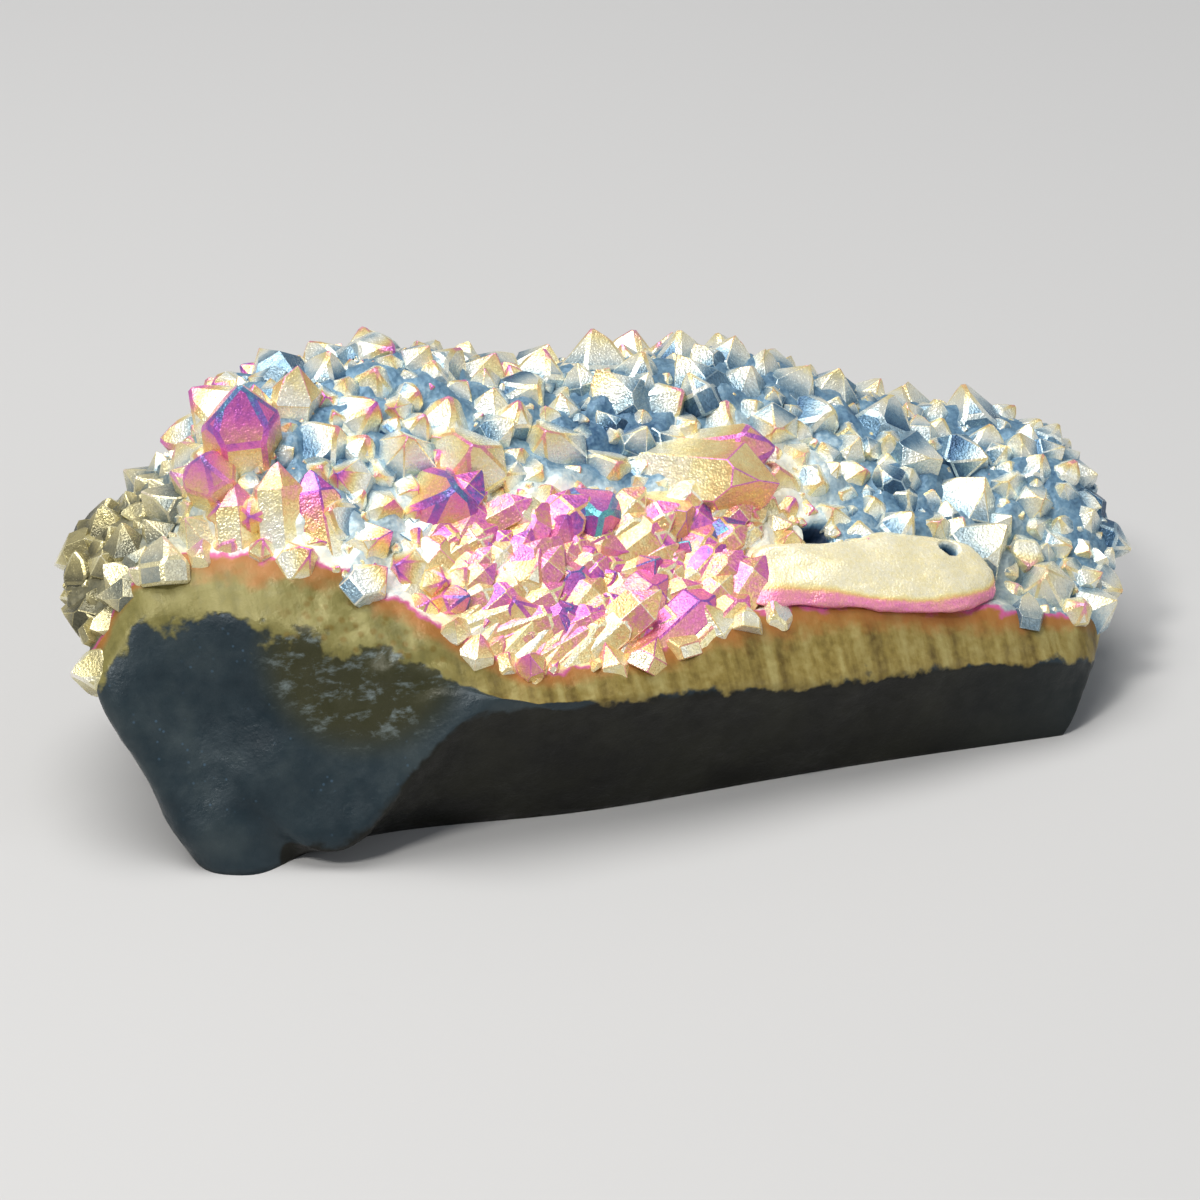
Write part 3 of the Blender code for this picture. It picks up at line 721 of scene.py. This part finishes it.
def shards(shown, rng):
    """Flattened crystals that lie on the broken slope at the front."""
    stock = [worn_crystal(1.0, rng.uniform(*SHARD_LENGTH), rng) for _ in range(STOCK)]
    level = numbers(shown, "level")
    points, _ = points_and_normals(shown)
    left, right = SHARD_REGION
    low, high = SHARD_LEVELS
    inside = (points[:, 0] > left) & (points[:, 0] < right) & (level > low) & (level < high)
    inside &= points[:, 1] < 0
    crowd = Crowd(SHARD_EDGE_FILM)
    for index in rng.sample(list(np.flatnonzero(inside)), SHARDS):
        point = Vector(points[index])
        width = rng.uniform(*SHARD_WIDTH)
        if small_kept_free(point, width):
            continue
        axis = SHARD_ALONG + Vector([rng.uniform(-SHARD_TURN, SHARD_TURN) for _ in range(3)])
        axis -= BROKEN_SLOPE * (axis.dot(BROKEN_SLOPE) - rng.uniform(*SHARD_RISE))
        axis.normalize()
        foot = point - axis * width * SHARD_BACK - BROKEN_SLOPE * width * SHARD_SUNK
        place = Matrix.Translation(foot) @ lying(axis) @ Matrix.Scale(width, 4)
        crowd.add(rng.choice(stock), place, rng)
    return crowd


# ---- Materials -----------------------------------------------------------------------------------

# The colours of the film as it grows thicker, and of its olive-gold patches. Their dark ends are painted shade
# in the valleys and pits, and their palest colours partly paint highlights.
FILM_AND_SHADE_COLOURS = (
    (.00, (.010, .030, .075)), (.10, (.045, .120, .230)), (.20, (.160, .300, .430)),
    (.30, (.480, .620, .680)), (.38, (.900, .940, .880)), (.48, (1.00, .960, .780)),
    (.58, (.960, .820, .400)), (.66, (.880, .560, .220)), (.72, (.900, .350, .380)),
    (.79, (.880, .200, .560)), (.86, (.480, .110, .520)), (.92, (.160, .150, .480)),
    (1.0, (.120, .520, .560)),
)
# The olive-gold colours run from painted shade, dark olive in the valleys, to a painted white highlight on the
# bumps.
GOLD_SHADE_TO_HIGHLIGHT_COLOURS = ((.10, (.050, .045, .020)), (.28, (.200, .160, .055)), (.42, (.480, .400, .140)),
                (.54, (.780, .720, .400)), (.66, (1.00, 1.00, .900)))
FILM_SWIRL_SIZE, FILM_GRAIN_SIZE = .0017, .0003
FILM_METALLIC, LEDGE_METALLIC = .48, .25
FILM_ROUGHNESS = (.16, .36)
FILM_BUMPS = (.00010, .7)        # depth and strength

# The stone's colours, from dark to light where there are several.
SLATE_COLOURS = ((.30, (.012, .023, .031)), (.50, (.024, .039, .048)), (.72, (.046, .064, .070)))
SPECK_COLOUR = (.090, .170, .260)
TORN_COLOUR = (.046, .046, .020)
FROST_COLOUR = (.22, .27, .27)
# Painted shade: the side under the keel is coloured near black, turning bluish towards the right end.
UNDERCUT_SHADE_COLOURS = ((.35, (.004, .004, .002)), (.65, (.013, .013, .007)))
UNDERCUT_END_SHADE_COLOUR = (.016, .024, .027)
UNDERCUT_END = (.018, .044)      # along X, over which the undercut's painted shade turns bluish
BAND_COLOURS = ((.34, (.120, .080, .018)), (.50, (.270, .200, .052)), (.66, (.400, .330, .120)))
BAND_LEFT_COLOUR = (.210, .210, .075)
BAND_LEFT = (-.012, -.022)       # along X, over which the band turns olive
BUBBLE_COLOUR = (.180, .110, .014)
ORANGE, PINK = (.400, .150, .036), (.600, .110, .300)
STONE_METALLIC, STONE_SPECULAR = .15, .3
STONE_ROUGHNESS = (.30, .52)

# Levels, as in RING_LEVEL, over which each zone of the stone gives way to the next one.
TO_BAND, TO_ORANGE, TO_PINK, TO_FILM = (1.95, 2.05), (2.50, 2.90), (2.90, 3.03), (3.00, 3.10)


class Nodes:
    """A node material, with a short name for each kind of node that it uses."""

    def __init__(self, name, metallic=0.0):
        self.material = bpy.data.materials.new(name)
        self.material.use_nodes = True
        self.tree = self.material.node_tree
        self.shader = self.tree.nodes["Principled BSDF"]
        self.shader.inputs["Metallic"].default_value = metallic
        self.place = self.tree.nodes.new("ShaderNodeTexCoord").outputs["Object"]

    def link(self, source, target):
        if isinstance(source, (int, float)):
            target.default_value = source
        elif isinstance(source, tuple):
            target.default_value = (*source, 1)
        else:
            self.tree.links.new(source, target)

    def attribute(self, name):
        node = self.tree.nodes.new("ShaderNodeAttribute")
        node.attribute_name = name
        return node.outputs["Fac"]

    def noise(self, size, detail=2.0, stretch=None, roughness=.5):
        node = self.tree.nodes.new("ShaderNodeTexNoise")
        node.inputs["Scale"].default_value = 1 / size
        node.inputs["Detail"].default_value = detail
        node.inputs["Roughness"].default_value = roughness
        vector = self.place
        if stretch:
            mapping = self.tree.nodes.new("ShaderNodeMapping")
            mapping.inputs["Scale"].default_value = stretch
            self.link(vector, mapping.inputs["Vector"])
            vector = mapping.outputs["Vector"]
        self.link(vector, node.inputs["Vector"])
        return node.outputs["Fac"]

    def cells(self, size):
        node = self.tree.nodes.new("ShaderNodeTexVoronoi")
        node.inputs["Scale"].default_value = 1 / size
        self.link(self.place, node.inputs["Vector"])
        return node.outputs["Distance"]

    def along_x(self):
        node = self.tree.nodes.new("ShaderNodeSeparateXYZ")
        self.link(self.place, node.inputs["Vector"])
        return node.outputs["X"]

    def math(self, operation, *values):
        node = self.tree.nodes.new("ShaderNodeMath")
        node.operation = operation
        for value, socket in zip(values, node.inputs):
            self.link(value, socket)
        return node.outputs[0]

    def swing(self, value, reach):
        """A noise of 0 to 1 as a swing of plus or minus the reach."""
        return self.math("MULTIPLY", self.math("SUBTRACT", value, .5), reach * 2)

    def total(self, *values):
        result = values[0]
        for value in values[1:]:
            result = self.math("ADD", result, value)
        return result

    def band(self, value, low, high, to_low=0.0, to_high=1.0):
        node = self.tree.nodes.new("ShaderNodeMapRange")
        node.interpolation_type = "SMOOTHSTEP"
        for socket, number in zip(("From Min", "From Max", "To Min", "To Max"), (low, high, to_low, to_high)):
            node.inputs[socket].default_value = number
        self.link(value, node.inputs["Value"])
        return node.outputs["Result"]

    def mix(self, share, first, second):
        node = self.tree.nodes.new("ShaderNodeMix")
        node.data_type = "RGBA"
        for socket, value in (("Factor", share), ("A", first), ("B", second)):
            inputs = [i for i in node.inputs if i.name == socket and i.enabled]
            self.link(value, inputs[0])
        return [o for o in node.outputs if o.enabled][0]

    def ramp(self, value, stops):
        node = self.tree.nodes.new("ShaderNodeValToRGB")
        elements = node.color_ramp.elements
        while len(elements) < len(stops):
            elements.new(1.0)
        for element, (place, colour) in zip(elements, stops):
            element.position = place
            element.color = (*colour, 1)
        self.link(value, node.inputs["Fac"])
        return node.outputs["Color"]

    def bump(self, height, distance, strength, under=None):
        node = self.tree.nodes.new("ShaderNodeBump")
        node.inputs["Distance"].default_value = distance
        node.inputs["Strength"].default_value = strength
        self.link(height, node.inputs["Height"])
        if under is not None:
            self.link(under, node.inputs["Normal"])
        return node.outputs["Normal"]

    def thickness(self, swirl, grain):
        """The film's value, with the shade painted into it, and its swirls and its grain."""
        return self.total(self.attribute("film"), self.swing(self.noise(FILM_SWIRL_SIZE, 3), swirl),
                          self.swing(self.noise(FILM_GRAIN_SIZE, 2), grain))

    def film(self, thickness):
        return self.mix(self.attribute("gold"), self.ramp(thickness, FILM_AND_SHADE_COLOURS),
                        self.ramp(thickness, GOLD_SHADE_TO_HIGHLIGHT_COLOURS))


def film_material(name, swirl, grain, facets=True, metallic=FILM_METALLIC):
    """The metal film on clean crystal faces: its colour runs with how thick the film is, and with the shade and
    highlights painted into the film's values.
    """
    nodes = Nodes(name, metallic)
    thickness = nodes.thickness(swirl, grain)
    if facets:
        thickness = nodes.math("ADD", thickness, nodes.attribute("facet"))
    nodes.link(nodes.film(thickness), nodes.shader.inputs["Base Color"])
    roughness = nodes.band(nodes.noise(.0007, 3), .3, .7, *FILM_ROUGHNESS)
    nodes.link(roughness, nodes.shader.inputs["Roughness"])
    bumps = nodes.total(nodes.math("MULTIPLY", nodes.noise(.0005, 3), .6), nodes.noise(.00018, 2))
    nodes.link(nodes.bump(bumps, *FILM_BUMPS), nodes.shader.inputs["Normal"])
    return nodes.material


def bare_stone(nodes):
    """Blue-grey broken quartz with frosty tears, and painted shade on its undercut side."""
    slate = nodes.ramp(nodes.noise(.0060, 4, roughness=.6), SLATE_COLOURS)
    specks = nodes.math("MULTIPLY", nodes.band(nodes.cells(.0008), .20, .06),
                        nodes.band(nodes.noise(.0040), .45, .65, 0, .4))
    slate = nodes.mix(specks, slate, SPECK_COLOUR)
    torn = nodes.attribute("torn")
    slate = nodes.mix(nodes.band(torn, .04, .40), slate, TORN_COLOUR)
    streaks = nodes.noise(.0010, 4, stretch=(.35, 1, 1), roughness=.7)
    frost = nodes.math("MULTIPLY", nodes.band(streaks, .50, .76), nodes.band(torn, .05, .40))
    slate = nodes.mix(nodes.math("MULTIPLY", frost, .9), slate, FROST_COLOUR)
    # Painted shade on the undercut side, in place of the shade under the keel.
    painted_shade = nodes.ramp(nodes.noise(.0050, 4), UNDERCUT_SHADE_COLOURS)
    painted_shade = nodes.mix(nodes.band(nodes.along_x(), *UNDERCUT_END, 0, .8), painted_shade, UNDERCUT_END_SHADE_COLOUR)
    ragged = nodes.total(nodes.attribute("under"), nodes.swing(nodes.noise(.0012, 3), .12))
    return nodes.mix(nodes.band(ragged, -.06, .06), slate, painted_shade)


def gold_band(nodes, streaks, ragged):
    """Mustard gold with upright streaks. It turns orange and pink towards the crystals."""
    speckle = nodes.total(nodes.math("MULTIPLY", streaks, .70),
                          nodes.math("MULTIPLY", nodes.noise(.0006, 3), .30))
    gold = nodes.ramp(speckle, BAND_COLOURS)
    gold = nodes.mix(nodes.band(nodes.along_x(), *BAND_LEFT, 0, .6), gold, BAND_LEFT_COLOUR)
    bubbles = nodes.math("MULTIPLY", nodes.band(nodes.cells(.0009), .45, .15),
                         nodes.band(nodes.attribute("torn"), .15, .45))
    gold = nodes.mix(nodes.math("MULTIPLY", bubbles, .6), gold, BUBBLE_COLOUR)
    gold = nodes.mix(nodes.band(ragged, *TO_ORANGE, 0, .85), gold, ORANGE)
    return nodes.mix(nodes.band(ragged, *TO_PINK), gold, PINK)


def stone_material():
    """Bare stone, then the golden band, then the film on the bed, with ragged borders between them."""
    nodes = Nodes("broken_quartz", STONE_METALLIC)
    nodes.link(STONE_SPECULAR, nodes.shader.inputs["Specular IOR Level"])
    ragged = nodes.total(nodes.attribute("level"), nodes.swing(nodes.noise(.0030, 3), .32),
                         nodes.swing(nodes.noise(.0009, 3), .14))
    streaks = nodes.noise(.0012, 3, stretch=(1.0, .12, .12))
    on_band = nodes.band(ragged, *TO_BAND)
    colour = nodes.mix(on_band, bare_stone(nodes), gold_band(nodes, streaks, ragged))
    film = nodes.film(nodes.thickness(swirl=.10, grain=.08))
    colour = nodes.mix(nodes.band(ragged, *TO_FILM), colour, film)
    nodes.link(colour, nodes.shader.inputs["Base Color"])
    roughness = nodes.band(nodes.noise(.0012, 4), .3, .7, *STONE_ROUGHNESS)
    nodes.link(roughness, nodes.shader.inputs["Roughness"])
    fine = nodes.bump(nodes.noise(.0005, 5, roughness=.65), .00012, .5)
    grooves = nodes.bump(nodes.math("MULTIPLY", streaks, on_band), .00020, .4, under=fine)
    bed_grains = nodes.math("MULTIPLY", nodes.cells(.0007), nodes.attribute("bed"))
    nodes.link(nodes.bump(bed_grains, .0002, .6, under=grooves), nodes.shader.inputs["Normal"])
    return nodes.material


# ---- Room ----------------------------------------------------------------------------------------

CAMERA_TARGET = Vector((-.0004, .0000, .0097)) + SHIFT
CAMERA_AZIMUTH = math.radians(-19.2)     # from straight in front, to the left
CAMERA_ELEVATION = math.radians(27.0)
LENS, SENSOR = 120.0, 36.0
VIEW_WIDTH = .100                        # what the picture takes in at the target

ROOM_COLOUR = (.50, .53, .58)
ROOM_STRENGTH = .38
FLOOR_COLOUR = (.58, .575, .57)
FLOOR_ROUGHNESS = .75
FLOOR_HALF_WIDTH = 1.5
LAMPS = {                                # place, size, watts, colour
    "softbox": ((-.12, .10, .75), .60, 4.6, (1.0, .99, .97)),
    "key": ((-.34, -.24, .52), .14, 1.9, (1.0, .98, .94)),
    "fill": ((.55, -.50, .30), .45, .9, (.90, .95, 1.0)),
}


def add_camera():
    away = Vector((math.sin(CAMERA_AZIMUTH) * math.cos(CAMERA_ELEVATION),
                   -math.cos(CAMERA_AZIMUTH) * math.cos(CAMERA_ELEVATION), math.sin(CAMERA_ELEVATION)))
    data = bpy.data.cameras.new("camera")
    data.lens = LENS
    data.sensor_width = SENSOR
    data.clip_start = .01
    camera = bpy.data.objects.new("camera", data)
    bpy.context.scene.collection.objects.link(camera)
    camera.location = CAMERA_TARGET + away * (VIEW_WIDTH * LENS / SENSOR)
    camera.rotation_mode = "QUATERNION"
    camera.rotation_quaternion = (-away).to_track_quat("-Z", "Y")
    bpy.context.scene.camera = camera


def add_lamp(name, place, size, watts, colour):
    data = bpy.data.lights.new(name, "AREA")
    data.shape = "DISK"
    data.size = size
    data.energy = watts
    data.color = colour
    lamp = bpy.data.objects.new(name, data)
    bpy.context.scene.collection.objects.link(lamp)
    lamp.location = place
    lamp.rotation_mode = "QUATERNION"
    lamp.rotation_quaternion = Vector(place).to_track_quat("Z", "Y")


def add_room():
    world = bpy.data.worlds.new("room")
    world.use_nodes = True
    background = world.node_tree.nodes["Background"]
    background.inputs["Color"].default_value = (*ROOM_COLOUR, 1)
    background.inputs["Strength"].default_value = ROOM_STRENGTH
    bpy.context.scene.world = world
    bm = bmesh.new()
    bmesh.ops.create_grid(bm, x_segments=1, y_segments=1, size=FLOOR_HALF_WIDTH)
    mesh = bpy.data.meshes.new("floor")
    bm.to_mesh(mesh)
    bm.free()
    floor = new_piece("floor", mesh)
    nodes = Nodes("floor")
    nodes.link(FLOOR_COLOUR, nodes.shader.inputs["Base Color"])
    nodes.link(FLOOR_ROUGHNESS, nodes.shader.inputs["Roughness"])
    mesh.materials.append(nodes.material)
    for name, facts in LAMPS.items():
        add_lamp(name, *facts)
    bpy.context.scene.view_settings.view_transform = "Standard"


# ---- The scene -----------------------------------------------------------------------------------


def dress(piece, material):
    piece.data.materials.clear()
    piece.data.materials.append(material)
    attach(piece, BODY)
    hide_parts(NODE)


def main():
    solid, shown = smooth_bodies()
    add_relief(solid)
    large, taken = large_crystals(solid)
    medium = small_crystals(solid, taken, seed=SEED + 2, **MEDIUM)
    fine = small_crystals(solid, taken, seed=SEED + 3, **FINE)
    broken = shards(shown, random.Random(SEED + 4))
    finish_stone(shown)

    clean_film = film_material("aura_film", swirl=.08, grain=.05)
    dress(new_piece("stone", shown), stone_material())
    dress(large.piece("large_crystals"), clean_film)
    dress(medium.piece("medium_crystals"), clean_film)
    dress(fine.piece("fine_crystals"), film_material("aura_film_fine", swirl=.08, grain=.10))
    dress(broken.piece("shards"), film_material("aura_film_broken", swirl=.12, grain=.10))
    ledge_film = film_material("ledge_film", swirl=.05, grain=.05, facets=False, metallic=LEDGE_METALLIC)
    dress(golden_ledge(), ledge_film)
    add_camera()
    add_room()


main()
